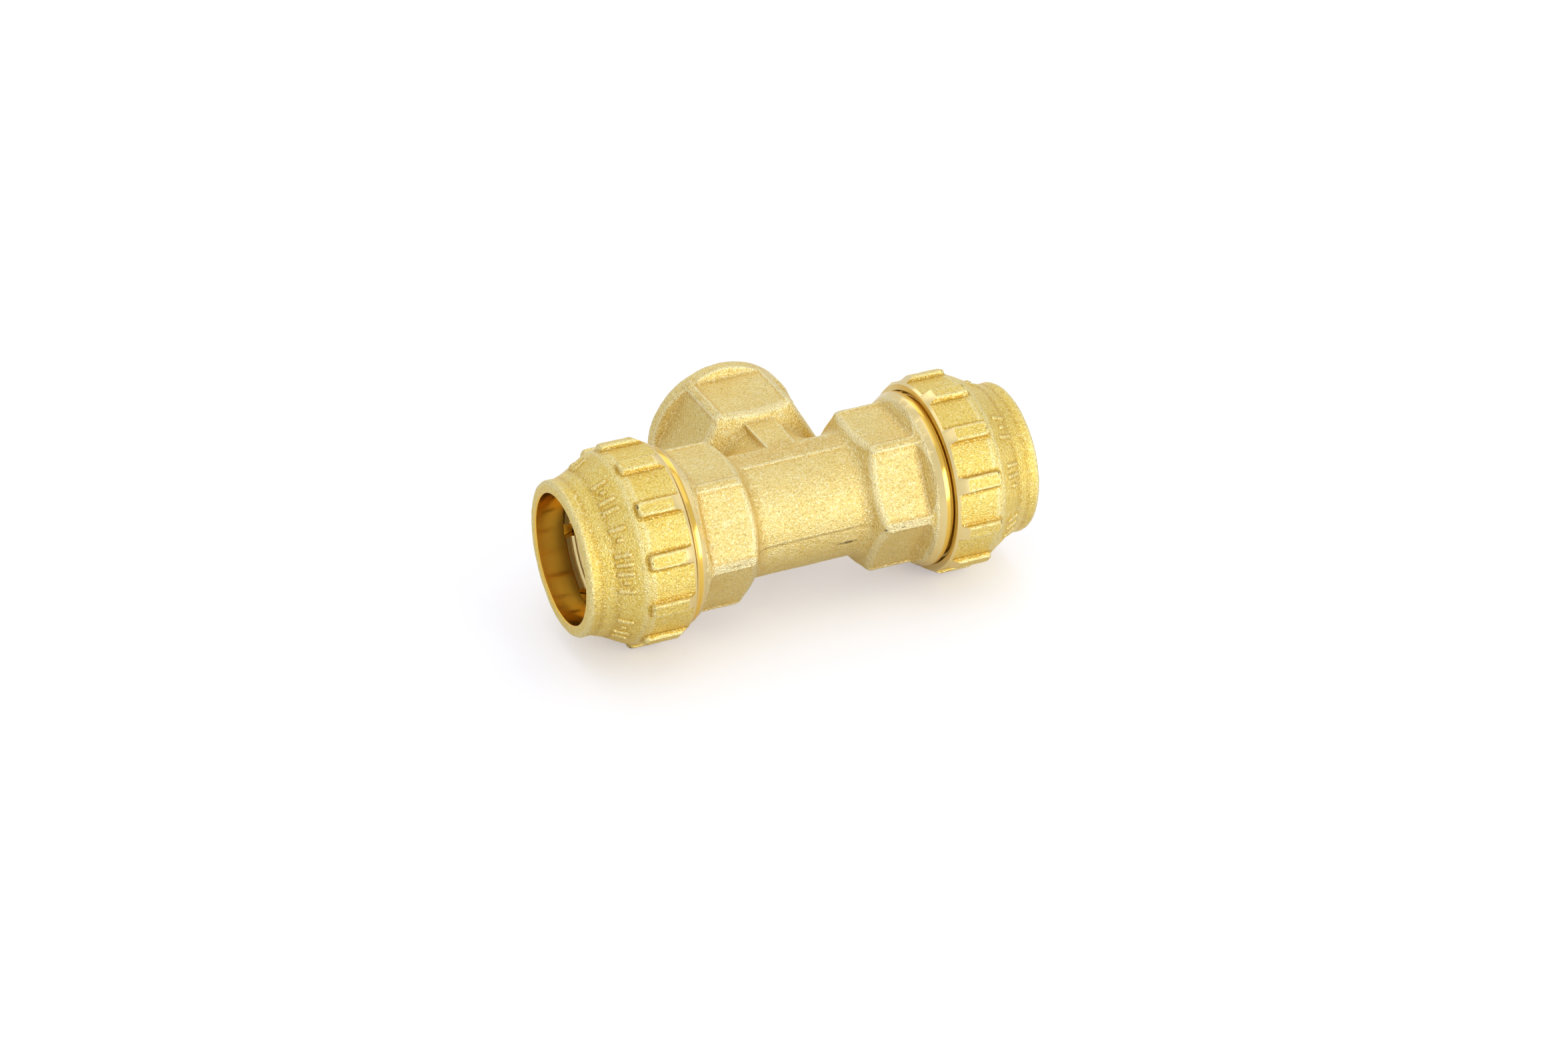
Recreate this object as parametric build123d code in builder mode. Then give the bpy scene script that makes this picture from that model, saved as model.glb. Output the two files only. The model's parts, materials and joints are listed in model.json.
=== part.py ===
"""Brass tee for plastic pipe: two push-in ends, each with a union nut, and a female threaded branch.

The run lies along X, the branch points along +Y and the origin is where the two axes cross.
"""
import math
import os

from build123d import *

os.makedirs("parts", exist_ok=True)

# ---- driving dimensions (mm, degrees) ----
pipe_radius = 16.0            # 32 mm polyethylene pipe
waterway_radius = 12.75
tube_wall = 2.6
tube_half_length = 14.8

# run ends of the body, from the tube outwards
shoulder_slope = 60.0
shoulder_hollow = 1.8
shoulder_round = 2.4
pipe_stop_depth = 5.2         # pipe stop beyond the end of the tube
socket_clearance = 0.15
socket_length = 16.6
socket_wall = 2.05            # at the middle of a wrench flat
corner_stand = 2.2            # rounded hexagon corner over the flat
collar_offset = 5.25          # collar's foot to the seal seat
run_flare = 1.75
collar_lead_stand = 3.35
collar_lead = 1.5
collar_length = 3.15
collar_stand = 1.75           # collar over the thread's root
collar_chamfer = 0.4
seal_seat_depth = 2.75        # over the pipe's surface
spigot_wall = 2.0             # seal seat to the external thread's root
spigot_lead = 1.0
seat_lead = 0.5

# packing in the seal seat
loose_fit = 0.15
packing_bore_clearance = 0.4  # rings over the pipe
support_ring_length = 2.6
seal_squeeze = 0.1            # seal's free bore under the pipe's surface
pressure_ring_length = 2.4
pressure_ring_stand = 0.3     # how far it stands out of the spigot

# union nut
nut_gap = 0.7                 # nut's face to the collar's end
nut_mouth_clearance = 0.4
nut_mouth_wall = 3.15
nut_mouth_length = 7.6        # plain bore behind the mouth
nut_neck_depth = 0.45
nut_neck_length = 3.6
nut_neck_land = 1.2
nut_cone_length = 8.8
nut_shoulder_round = 3.2
nut_lip_round = 1.2
nut_inner_lip_round = 0.7
nut_seat_step = 1.1
nut_seat_length = 6.8
nut_seat_slope = 28.5
nut_seat_offset = 2.15        # wide end of the seat beyond the spigot's tip
nut_thread_clearance = 1.35   # nut's thread root over the spigot's thread root
nut_thread_wall = 2.3
nut_relief_length = 1.7
nut_wall_relief = 0.2
nut_entry_chamfer = 0.8
rib_count = 12
rib_height = 1.3
rib_width = 4.3
rib_length = 12.2
rib_draft = 13.0
rib_corner = 1.1
rib_edge_round = 0.3
rib_root_sink = 1.2
rear_cut_slope = 30.0         # turned across the rear ends of the ribs
rear_cut_depth = 0.4
rib_phase = {"left": 20.2, "right": 22.1}

# split grip ring
ring_play = 0.25
ring_end_play = 0.3
ring_rear_gap = 0.8           # to the pressure ring
ring_bore_clearance = 0.2
ring_rear_land = 1.1
tooth_count = 5
tooth_depth = 0.6
ring_slot = 3.4
ring_notch_depth = 3.2
ring_notch_count = 6
ring_phase = 20.0

# threaded branch, G1 female
branch_end_y = 41.8
branch_thread_radius = 16.62  # major radius
branch_thread_depth = 19.3
branch_thread_runout = 3.0
branch_entry_chamfer = 0.8
branch_wall = 1.58            # at the middle of a wrench flat
branch_rim_wall = 3.58
branch_rim_length = 3.4
branch_rim_round = 0.9
branch_rim_step = 0.6
branch_flare = 1.2
branch_shoulder_y = 16.4
branch_neck_wall = 1.45

# marking land on the tube and the block that carries it up to the branch
land_stand = 0.25
land_half_length = 14.4
land_front_y = -2.7
land_back_y = 4.3
block_half_width = 4.0
block_sink = 1.1              # how far the block runs into the branch's shoulder

# ---- sizes that follow ----
tube_radius = waterway_radius + tube_wall
socket_radius = pipe_radius + socket_clearance
run_apothem = socket_radius + socket_wall
seal_seat_radius = pipe_radius + seal_seat_depth
spigot_radius = seal_seat_radius + spigot_wall
collar_radius = spigot_radius + collar_stand
collar_lead_radius = run_apothem + collar_lead_stand

pipe_stop_x = tube_half_length + pipe_stop_depth
seal_seat_x = pipe_stop_x + socket_length
collar_start_x = seal_seat_x - collar_offset
collar_end_x = collar_start_x + collar_length
seal_inner_radius = pipe_radius - seal_squeeze
seal_section = seal_seat_radius - loose_fit - seal_inner_radius
packing_inner_radius = pipe_radius + packing_bore_clearance
packing_outer_radius = seal_seat_radius - loose_fit
support_ring_x = seal_seat_x + loose_fit
seal_x = support_ring_x + support_ring_length + loose_fit + seal_section / 2
pressure_ring_x = seal_x + seal_section / 2 + loose_fit
pressure_ring_end_x = pressure_ring_x + pressure_ring_length
spigot_tip_x = pressure_ring_end_x - pressure_ring_stand

nut_face_x = collar_end_x + nut_gap
nut_seat_end_x = spigot_tip_x + nut_seat_offset
nut_seat_start_x = nut_seat_end_x + nut_seat_length
half_length = nut_seat_start_x + nut_mouth_length
nut_bore_radius = pipe_radius + nut_mouth_clearance
nut_mouth_radius = nut_bore_radius + nut_mouth_wall
nut_seat_radius = nut_bore_radius + nut_seat_step
nut_thread_radius = spigot_radius + nut_thread_clearance
nut_relief_radius = nut_thread_radius + nut_wall_relief
nut_radius = nut_thread_radius + nut_thread_wall
rib_top_radius = nut_radius + rib_height

branch_apothem = branch_thread_radius + branch_wall
branch_corner_radius = branch_apothem + corner_stand
branch_rim_radius = branch_thread_radius + branch_rim_wall
branch_neck_radius = waterway_radius + branch_neck_wall
land_height = tube_radius + land_stand


def rise_over(angle):
    """Rise for each millimetre of run on a slope."""
    return math.tan(math.radians(angle))


def end_plane(side):
    """Profile plane of one run end: local x runs outwards along the pipe, local y is the radius."""
    return Plane(origin=(0, 0, 0), x_dir=(side, 0, 0), z_dir=(0, -side, 0))


def end_section(side):
    """Section plane of one run end: local z runs outwards, local x lies in the parting plane."""
    return Plane(origin=(0, 0, 0), x_dir=(0, 1, 0), z_dir=(side, 0, 0))


branch_section = Plane(origin=(0, 0, 0), x_dir=(1, 0, 0), z_dir=(0, 1, 0))


# ---- cutter for wrench flats: a ring around a hexagonal core that flares at its far end ----
def flats_cutter(apothem, end, flare, outer):
    slope = math.degrees(math.atan((outer - apothem) / flare))
    with BuildPart() as cutter:
        with BuildSketch():
            Circle(outer + 6)
        extrude(amount=end + flare)
        with BuildSketch():
            RegularPolygon(apothem, 6, major_radius=False)
        extrude(amount=end, mode=Mode.SUBTRACT)
        with BuildSketch(Plane.XY.offset(end)):
            RegularPolygon(apothem, 6, major_radius=False)
        extrude(amount=flare, taper=-slope, mode=Mode.SUBTRACT)
    return cutter.part


run_flats = flats_cutter(run_apothem, collar_start_x - run_flare, run_flare, collar_lead_radius)
branch_flats_end = branch_end_y - branch_rim_length - branch_flare
branch_flats = flats_cutter(branch_apothem, branch_flats_end, branch_flare, branch_corner_radius + 0.1)

# ---- branch: neck, shoulder, wrench flats and rim ----
heel_y = branch_shoulder_y + (branch_corner_radius - branch_neck_radius) / rise_over(shoulder_slope)

with BuildPart() as branch:
    with BuildSketch(Plane.XY) as branch_profile:
        with BuildLine():
            Polyline(
                (0, 0),
                (branch_neck_radius, 0),
                (branch_neck_radius, branch_shoulder_y),
                (branch_corner_radius, heel_y),
                (branch_corner_radius, branch_end_y - branch_rim_length),
                (branch_rim_radius, branch_end_y - branch_rim_length + branch_rim_step),
                (branch_rim_radius, branch_end_y),
                (0, branch_end_y),
                close=True,
            )
        make_face()
        fillet(branch_profile.vertices().sort_by_distance((branch_corner_radius, heel_y))[0], shoulder_round)
        fillet(branch_profile.vertices().sort_by_distance((branch_rim_radius, branch_end_y))[0], branch_rim_round)
    revolve(axis=Axis.Y)
    with Locations(branch_section):
        add(branch_flats, mode=Mode.SUBTRACT)

# ---- tee body: one hot forging, machined at its three ends ----
run_corner_radius = run_apothem + corner_stand
brow_x = tube_half_length + (run_corner_radius - tube_radius) / rise_over(shoulder_slope)
thread_start_y = branch_end_y - branch_thread_depth

with BuildPart() as tee_body:
    # run: the right half and its mirror image
    with BuildSketch(Plane.XZ) as run_profile:
        with BuildLine():
            Polyline(
                (0, 0),
                (0, tube_radius),
                (tube_half_length, tube_radius),
                (brow_x, run_corner_radius),
                (collar_start_x - run_flare, run_corner_radius),
                (collar_start_x, collar_lead_radius),
                (collar_start_x + collar_lead, collar_radius),
                (collar_end_x - collar_chamfer, collar_radius),
                (collar_end_x, collar_radius - collar_chamfer),
                (collar_end_x, spigot_radius),
                (spigot_tip_x - spigot_lead, spigot_radius),
                (spigot_tip_x, spigot_radius - spigot_lead),
                (spigot_tip_x, 0),
                close=True,
            )
        make_face()
        fillet(run_profile.vertices().sort_by_distance((tube_half_length, tube_radius))[0], shoulder_hollow)
        fillet(run_profile.vertices().sort_by_distance((brow_x, run_corner_radius))[0], shoulder_round)
    revolve(axis=Axis.X)
    mirror(about=Plane.YZ)
    for side in (-1, 1):
        with Locations(end_section(side)):
            add(run_flats, mode=Mode.SUBTRACT)
    add(branch.part)

    # marking land and block
    with BuildSketch(Plane.XY):
        with Locations((0, (land_front_y + land_back_y) / 2)):
            Rectangle(2 * land_half_length, land_back_y - land_front_y)
    extrude(amount=land_height)
    with BuildSketch(Plane.XY):
        with Locations((0, (branch_shoulder_y + block_sink) / 2)):
            Rectangle(2 * block_half_width, branch_shoulder_y + block_sink)
    extrude(amount=land_height)

    # waterway, pipe sockets and seal seats
    for side in (-1, 1):
        with BuildSketch(end_plane(side)):
            with BuildLine():
                Polyline(
                    (-1, 0),
                    (-1, waterway_radius),
                    (pipe_stop_x, waterway_radius),
                    (pipe_stop_x, socket_radius),
                    (seal_seat_x, socket_radius),
                    (seal_seat_x, seal_seat_radius),
                    (spigot_tip_x - seat_lead, seal_seat_radius),
                    (spigot_tip_x, seal_seat_radius + seat_lead),
                    (spigot_tip_x, 0),
                    close=True,
                )
            make_face()
        revolve(axis=Axis.X, mode=Mode.SUBTRACT)

    # threaded bore of the branch
    with BuildSketch(Plane.XY):
        with BuildLine():
            Polyline(
                (0, 0),
                (waterway_radius, 0),
                (waterway_radius, thread_start_y - branch_thread_runout),
                (branch_thread_radius, thread_start_y),
                (branch_thread_radius, branch_end_y - branch_entry_chamfer),
                (branch_thread_radius + branch_entry_chamfer, branch_end_y),
                (0, branch_end_y),
                close=True,
            )
        make_face()
    revolve(axis=Axis.Y, mode=Mode.SUBTRACT)
tee_body.part.label = "tee_body"
export_step(tee_body.part, "parts/tee_body.step")

# ---- one rib of a union nut: a drafted bar with a round end, lying along X on top of the nut ----
rib_start_x = nut_face_x + rear_cut_depth / 2
rib_end_x = nut_face_x + rib_length
rib_root_radius = nut_radius - rib_root_sink
rib_root_width = rib_width + 2 * rib_root_sink * rise_over(rib_draft)

with BuildPart() as rib:
    with BuildSketch(Plane.XY.offset(rib_root_radius)) as rib_foot:
        with Locations(((rib_start_x + rib_end_x) / 2, 0)):
            Rectangle(rib_end_x - rib_start_x, rib_root_width)
        fillet(rib_foot.vertices().group_by(Axis.X)[-1], rib_corner)
    extrude(amount=rib_height + rib_root_sink, taper=rib_draft)
    fillet(rib.faces().sort_by(Axis.Z)[-1].edges(), rib_edge_round)

# ---- the two ends: turned pieces about X, repeated for each side ----
nut_cone_start_x = half_length - nut_neck_length - nut_neck_land
nut_cone_end_x = nut_cone_start_x - nut_cone_length
nut_seat_rise = nut_seat_length * rise_over(nut_seat_slope)
rear_cut_start_x = nut_face_x - 1
rear_cut_start_radius = nut_radius - rear_cut_depth - rise_over(rear_cut_slope)
rear_cut_outer_radius = rib_top_radius + 1
rear_cut_end_x = rear_cut_start_x + (rear_cut_outer_radius - rear_cut_start_radius) / rise_over(rear_cut_slope)

ring_front_x = nut_seat_start_x - ring_end_play
ring_rear_x = pressure_ring_end_x + ring_rear_gap
ring_cone_end_x = nut_seat_end_x + ring_play
ring_bore_radius = pipe_radius + ring_bore_clearance
ring_front_radius = nut_seat_radius + ring_end_play * rise_over(nut_seat_slope) - ring_play
ring_cone_radius = ring_front_radius + (ring_front_x - ring_cone_end_x) * rise_over(nut_seat_slope)
tooth_pitch = (ring_front_x - ring_rear_x - 2 * ring_rear_land) / tooth_count
slot_height = 2 * (ring_cone_radius - ring_bore_radius)

tooth_points = []
for k in range(tooth_count):
    crest_x = ring_front_x - ring_rear_land - k * tooth_pitch
    tooth_points.append((crest_x, ring_bore_radius))
    tooth_points.append((crest_x - 0.25 * tooth_pitch, ring_bore_radius + tooth_depth))
tooth_points.append((ring_front_x - ring_rear_land - tooth_count * tooth_pitch, ring_bore_radius))

for name, side in (("left", -1), ("right", 1)):
    plane = end_plane(side)

    # union nut
    with BuildPart() as nut:
        with BuildSketch(plane) as nut_profile:
            with BuildLine():
                Polyline(
                    (nut_face_x, nut_thread_radius + nut_entry_chamfer),
                    (nut_face_x, nut_radius),
                    (nut_cone_end_x, nut_radius),
                    (nut_cone_start_x, nut_mouth_radius),
                    (nut_cone_start_x + nut_neck_land / 2, nut_mouth_radius - nut_neck_depth),
                    (nut_cone_start_x + nut_neck_land, nut_mouth_radius - nut_neck_depth),
                    (nut_cone_start_x + 2 * nut_neck_land, nut_mouth_radius),
                    (half_length, nut_mouth_radius),
                    (half_length, nut_bore_radius),
                    (nut_seat_start_x, nut_bore_radius),
                    (nut_seat_start_x, nut_seat_radius),
                    (nut_seat_end_x, nut_seat_radius + nut_seat_rise),
                    (nut_seat_end_x, nut_relief_radius),
                    (nut_seat_end_x - nut_relief_length, nut_relief_radius),
                    (nut_seat_end_x - nut_relief_length, nut_thread_radius),
                    (nut_face_x + nut_entry_chamfer, nut_thread_radius),
                    close=True,
                )
            make_face()
            fillet(nut_profile.vertices().sort_by_distance((nut_cone_end_x, nut_radius))[0], nut_shoulder_round)
            fillet(nut_profile.vertices().sort_by_distance((half_length, nut_mouth_radius))[0], nut_lip_round)
            inner_lip = nut_profile.vertices().sort_by_distance((half_length, nut_bore_radius))[0]
            fillet(inner_lip, nut_inner_lip_round)
        revolve(axis=Axis.X)
        for k in range(rib_count):
            turn = 90 - rib_phase[name] + k * 360 / rib_count
            with Locations(Rotation(turn, 0, 0) * Rotation(0, 0, 90 - 90 * side)):
                add(rib.part)
        with BuildSketch(plane):
            with BuildLine():
                Polyline(
                    (rear_cut_start_x, rear_cut_start_radius),
                    (rear_cut_end_x, rear_cut_outer_radius),
                    (rear_cut_start_x, rear_cut_outer_radius),
                    close=True,
                )
            make_face()
        revolve(axis=Axis.X, mode=Mode.SUBTRACT)
    nut.part.label = f"{name}_nut"
    export_step(nut.part, f"parts/{name}_nut.step")

    # split grip ring: outer cone, inner teeth, one slot right through and notches in its front
    with BuildPart() as grip_ring:
        with BuildSketch(plane):
            with BuildLine():
                Polyline(
                    (ring_front_x, ring_bore_radius),
                    *tooth_points,
                    (ring_rear_x, ring_bore_radius),
                    (ring_rear_x, ring_cone_radius),
                    (ring_cone_end_x, ring_cone_radius),
                    (ring_front_x, ring_front_radius),
                    close=True,
                )
            make_face()
        revolve(axis=Axis.X)
        for k in range(ring_notch_count):
            cut_length = 2 * ring_notch_depth if k else 2 * (ring_front_x - ring_rear_x) + 2
            with Locations(Rotation(ring_phase + k * 360 / ring_notch_count, 0, 0)):
                with Locations((side * ring_front_x, 0, ring_cone_radius)):
                    Box(cut_length, ring_slot, slot_height + 2, mode=Mode.SUBTRACT)
    grip_ring.part.label = f"{name}_grip_ring"
    export_step(grip_ring.part, f"parts/{name}_grip_ring.step")

    # support ring at the bottom of the seal seat
    with BuildPart() as support_ring:
        with BuildSketch(Plane.YZ.offset(side * support_ring_x)):
            Circle(packing_outer_radius)
            Circle(packing_inner_radius, mode=Mode.SUBTRACT)
        extrude(amount=side * support_ring_length)
    support_ring.part.label = f"{name}_support_ring"
    export_step(support_ring.part, f"parts/{name}_support_ring.step")

    # O-ring seal on the pipe
    with BuildPart() as seal:
        with BuildSketch(plane):
            with Locations((seal_x, seal_inner_radius + seal_section / 2)):
                Circle(seal_section / 2)
        revolve(axis=Axis.X)
    seal.part.label = f"{name}_seal"
    export_step(seal.part, f"parts/{name}_seal.step")

    # pressure ring between the seal and the grip ring
    with BuildPart() as pressure_ring:
        with BuildSketch(Plane.YZ.offset(side * pressure_ring_x)):
            Circle(packing_outer_radius)
            Circle(packing_inner_radius, mode=Mode.SUBTRACT)
        extrude(amount=side * pressure_ring_length)
    pressure_ring.part.label = f"{name}_pressure_ring"
    export_step(pressure_ring.part, f"parts/{name}_pressure_ring.step")

print(f"overall length {2 * half_length:.1f}, over the ribs {2 * rib_top_radius:.1f}, branch end {branch_end_y:.1f}")
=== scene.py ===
import json
import math
import bpy
import numpy as np
import openvdb
from mathutils import Matrix, Vector


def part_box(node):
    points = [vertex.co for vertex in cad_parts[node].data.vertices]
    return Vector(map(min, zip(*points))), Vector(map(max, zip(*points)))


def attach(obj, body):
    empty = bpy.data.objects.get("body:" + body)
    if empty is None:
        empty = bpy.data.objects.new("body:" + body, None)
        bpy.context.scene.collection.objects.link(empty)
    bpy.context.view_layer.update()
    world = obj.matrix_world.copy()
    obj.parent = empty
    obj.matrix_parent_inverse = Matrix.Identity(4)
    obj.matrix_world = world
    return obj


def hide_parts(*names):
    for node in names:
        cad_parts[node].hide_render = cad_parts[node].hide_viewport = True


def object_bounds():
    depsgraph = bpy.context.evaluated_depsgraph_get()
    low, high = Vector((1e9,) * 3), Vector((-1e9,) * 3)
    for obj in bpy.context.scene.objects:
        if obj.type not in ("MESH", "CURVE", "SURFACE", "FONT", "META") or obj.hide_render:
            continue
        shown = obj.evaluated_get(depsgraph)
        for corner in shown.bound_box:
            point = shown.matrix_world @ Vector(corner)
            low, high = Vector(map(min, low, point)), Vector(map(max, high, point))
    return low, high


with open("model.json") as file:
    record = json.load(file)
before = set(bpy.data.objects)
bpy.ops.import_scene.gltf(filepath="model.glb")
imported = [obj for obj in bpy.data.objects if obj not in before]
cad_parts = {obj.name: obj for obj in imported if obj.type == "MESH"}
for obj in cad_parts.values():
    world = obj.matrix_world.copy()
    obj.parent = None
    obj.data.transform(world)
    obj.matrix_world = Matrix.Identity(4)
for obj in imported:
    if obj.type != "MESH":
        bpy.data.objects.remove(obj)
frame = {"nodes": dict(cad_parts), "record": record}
cadLow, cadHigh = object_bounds()
mm = 0.001                      # sizes below are in mm, meshes are in metres
print("frame loaded:", len(frame["nodes"]), "nodes")

mounts = {m["name"]: m for m in frame["record"]["mounts"]}


def reach(node, axis):
    # furthest coordinate of a CAD node along one axis, in mm
    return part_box(node)[1][axis] / mm


def start(node, axis):
    # nearest coordinate of a CAD node along one axis, in mm
    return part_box(node)[0][axis] / mm


def boreRadius(name):
    return mounts[name]["dims"]["r_mm"]


# shapes are distance fields in mm: negative inside, positive outside
def roundedUnion(a, b, radius):
    # two solids joined with a hollow fillet
    corner = np.hypot(np.maximum(radius - a, 0), np.maximum(radius - b, 0))
    return np.maximum(radius, np.minimum(a, b)) - corner


def roundedMeet(a, b, radius):
    # what two solids share, with its edge rounded
    corner = np.hypot(np.maximum(radius + a, 0), np.maximum(radius + b, 0))
    return np.minimum(-radius, np.maximum(a, b)) + corner


def wrenchFlats(p, q, apothem):
    # hexagonal bar with two corners on the p axis
    tilt = math.radians(30)
    across, up = p * math.cos(tilt), q * math.sin(tilt)
    side = np.maximum(np.abs(across + up), np.abs(across - up))
    return np.maximum(side, np.abs(q)) - apothem


def wrenchBar(p, q, size):
    # hexagonal bar whose corners carry a narrow raised strip each
    radius = np.hypot(p, q)
    bar = wrenchFlats(p, q, size["apothem"] - size["flatSink"])
    bar = np.maximum(bar, radius - size["cornerRadius"])
    sixth = math.pi / 3
    angle = np.arctan2(q, p)
    angle = angle - sixth * np.round(angle / sixth)
    height = radius * np.cos(angle)
    depth = height - size["cornerRadius"]
    side = np.abs(radius * np.sin(angle)) - size["stripHalf"] + depth * size["stripDraft"]
    strip = roundedMeet(side, depth, size["cornerRound"])
    strip = np.maximum(strip, size["apothem"] - size["stripRoot"] - height)
    return roundedUnion(bar, strip, size["stripFoot"])


def slopeFrom(along, radius, alongStart, radiusStart, angle):
    # cone face that climbs at an angle from a point of the profile; the solid lies beyond it
    rise = math.radians(angle)
    return (alongStart + (radius - radiusStart) / math.tan(rise) - along) * math.sin(rise)


def plateau(distance, blur):
    # 1 inside, 0 outside, with a soft edge
    return np.clip(0.5 - distance / blur, 0, 1)


def ripple(points, wavelength, seed):
    # smooth unevenness between about -1 and 1, as a sum of seeded waves
    dice = np.random.default_rng(seed)
    total = np.zeros(len(points))
    waves = 14
    for _ in range(waves):
        direction = dice.normal(size=3)
        direction /= np.linalg.norm(direction)
        length = wavelength * dice.uniform(0.7, 1.5)
        total += np.sin(points @ direction * (2 * math.pi / length) + dice.uniform(0, 2 * math.pi))
    return total / math.sqrt(waves)


def meshFrom(name, points, faces, slot=0):
    mesh = bpy.data.meshes.new(name)
    mesh.vertices.add(len(points))
    mesh.vertices.foreach_set("co", (np.asarray(points) * mm).astype(np.float32).ravel())
    sizes = np.array([len(f) for f in faces])
    mesh.loops.add(int(sizes.sum()))
    mesh.loops.foreach_set("vertex_index", np.concatenate([np.asarray(f) for f in faces]).astype(np.int32))
    mesh.polygons.add(len(sizes))
    starts = np.concatenate([[0], np.cumsum(sizes)[:-1]])
    mesh.polygons.foreach_set("loop_start", starts.astype(np.int32))
    mesh.polygons.foreach_set("material_index", np.full(len(sizes), slot, np.int32))
    mesh.update(calc_edges=True)
    mesh.validate()
    piece = bpy.data.objects.new(name, mesh)
    bpy.context.scene.collection.objects.link(piece)
    return piece


def gradient(field, points, step):
    slopes = []
    for axis in range(3):
        nudge = np.zeros(3)
        nudge[axis] = step
        high = field(*(points + nudge).T)
        low = field(*(points - nudge).T)
        slopes.append((high - low) / (2 * step))
    return np.stack(slopes, axis=1)


def forge(name, field, skin, low, high, voxel, dress):
    # a closed skin on the field's zero surface, settled onto it and then dressed with small relief
    probe, flattest = 0.05, 0.2
    axes = [np.arange(low[i], high[i] + voxel, voxel, dtype=np.float32) for i in range(3)]
    x, y, z = np.meshgrid(*axes, indexing="ij", sparse=True)
    band = 3 * voxel
    volume = np.clip(field(x, y, z), -band, band).astype(np.float32)
    grid = openvdb.FloatGrid(band)
    grid.copyFromArray(volume)
    points, quads = grid.convertToQuads(isovalue=0.0)
    points = np.asarray(points, float) * voxel + np.array(low)
    for _ in range(2):
        slope = gradient(field, points, probe)
        size = np.maximum((slope ** 2).sum(1, keepdims=True), flattest)
        points = points - np.clip(field(*points.T)[:, None], -voxel, voxel) * slope / size
    slope = gradient(field, points, probe)
    slope /= np.linalg.norm(slope, axis=1, keepdims=True)
    points = points + slope * dress(points)[:, None]
    piece = meshFrom(name, points, np.asarray(quads))
    for material in (skin, turnedFace, boreFace, branchFace, branchBoreFace):
        piece.data.materials.append(material)
    turnOutwards(piece)
    return piece


def lathe(name, profile, place, segments=192):
    # closed solid turned from (along, radius) points; place maps along and the section to x, y, z
    points, rings = [], []
    for along, radius in profile:
        if radius == 0:
            rings.append([len(points)])
            points.append(place(along, 0.0, 0.0))
            continue
        rings.append(range(len(points), len(points) + segments))
        for k in range(segments):
            turn = 2 * math.pi * k / segments
            points.append(place(along, radius * math.cos(turn), radius * math.sin(turn)))
    faces = []
    for near, far in zip(rings, rings[1:]):
        for k in range(segments):
            n = (k + 1) % segments
            if len(near) == 1:
                faces.append((near[0], far[n], far[k]))
            elif len(far) == 1:
                faces.append((near[k], near[n], far[0]))
            else:
                faces.append((near[k], near[n], far[n], far[k]))
    piece = meshFrom(name, points, faces, slot=1)
    for material in (turnedFace, turnedFace, boreFace):
        piece.data.materials.append(material)
    turnOutwards(piece)
    return piece


def turnOutwards(piece):
    # flips a closed mesh whose faces look inwards
    mesh = piece.data
    mesh.calc_loop_triangles()
    corners = np.array([t.vertices for t in mesh.loop_triangles])
    co = np.array([v.co for v in mesh.vertices])
    a, b, c = co[corners[:, 0]], co[corners[:, 1]], co[corners[:, 2]]
    if np.einsum("ij,ij->i", a, np.cross(b, c)).sum() < 0:
        mesh.flip_normals()


def alongRun(side):
    # outwards along the run, right-handed about the outward axis
    return lambda along, p, q: (side * along, p, side * q)


def alongBranch(along, p, q):
    return (q, along, p)


def carve(piece, tool, operation):
    # boolean with a second closed solid, which is used up
    step = piece.modifiers.new(operation, "BOOLEAN")
    step.operation = operation
    step.solver = "MANIFOLD"
    step.material_mode = "INDEX"
    step.object = tool
    graph = bpy.context.evaluated_depsgraph_get()
    made = bpy.data.meshes.new_from_object(piece.evaluated_get(graph))
    piece.modifiers.clear()
    old = piece.data
    made.name = old.name
    piece.data = made
    bpy.data.meshes.remove(old)
    bpy.data.objects.remove(tool)
    if len(made.polygons) == 0:
        raise RuntimeError(f"{piece.name}: {operation} left nothing")


def threadRidge(name, place, root, crest, begin, end, thread):
    # one helical ridge whose ends fade into the wall it stands on; its widths are half widths
    pitch, rootWidth, crestWidth = thread["pitch"], thread["rootWidth"], thread["crestWidth"]
    perTurn, fadeTurns, faintest, sink = 96, 0.45, 0.04, 0.15
    count = int((end - begin) / pitch * perTurn) + 1
    outwards = 1 if crest > root else -1
    points = []
    for k in range(count):
        turn = 2 * math.pi * k / perTurn
        along = begin + pitch * k / perTurn
        fade = min(1.0, k / (fadeTurns * perTurn), (count - 1 - k) / (fadeTurns * perTurn))
        fade = faintest + (1 - faintest) * math.sin(0.5 * math.pi * max(fade, 0.0))
        height = (crest - root) * fade
        flank = crestWidth + (rootWidth - crestWidth) * (1 - fade)
        section = ((-rootWidth, -sink * outwards), (-rootWidth, 0), (-flank, height), (flank, height),
                   (rootWidth, 0), (rootWidth, -sink * outwards))
        for offset, rise in section:
            radius = root + rise
            points.append(place(along + offset, radius * math.cos(turn), radius * math.sin(turn)))
    corners = 6
    faces = [tuple(range(corners)), tuple(reversed(range((count - 1) * corners, count * corners)))]
    for k in range(count - 1):
        for c in range(corners):
            n = (c + 1) % corners
            faces.append((k * corners + c, (k + 1) * corners + c, (k + 1) * corners + n, k * corners + n))
    piece = meshFrom(name, points, faces)
    turnOutwards(piece)
    return piece


def newGroup(name, inputs, outputs):
    group = bpy.data.node_groups.new(name, "ShaderNodeTree")
    for label, kind, value in inputs:
        socket = group.interface.new_socket(label, in_out="INPUT", socket_type=kind)
        if value is not None:
            socket.default_value = value
    for label, kind in outputs:
        group.interface.new_socket(label, in_out="OUTPUT", socket_type=kind)
    return group, group.nodes.new("NodeGroupInput"), group.nodes.new("NodeGroupOutput")


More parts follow.
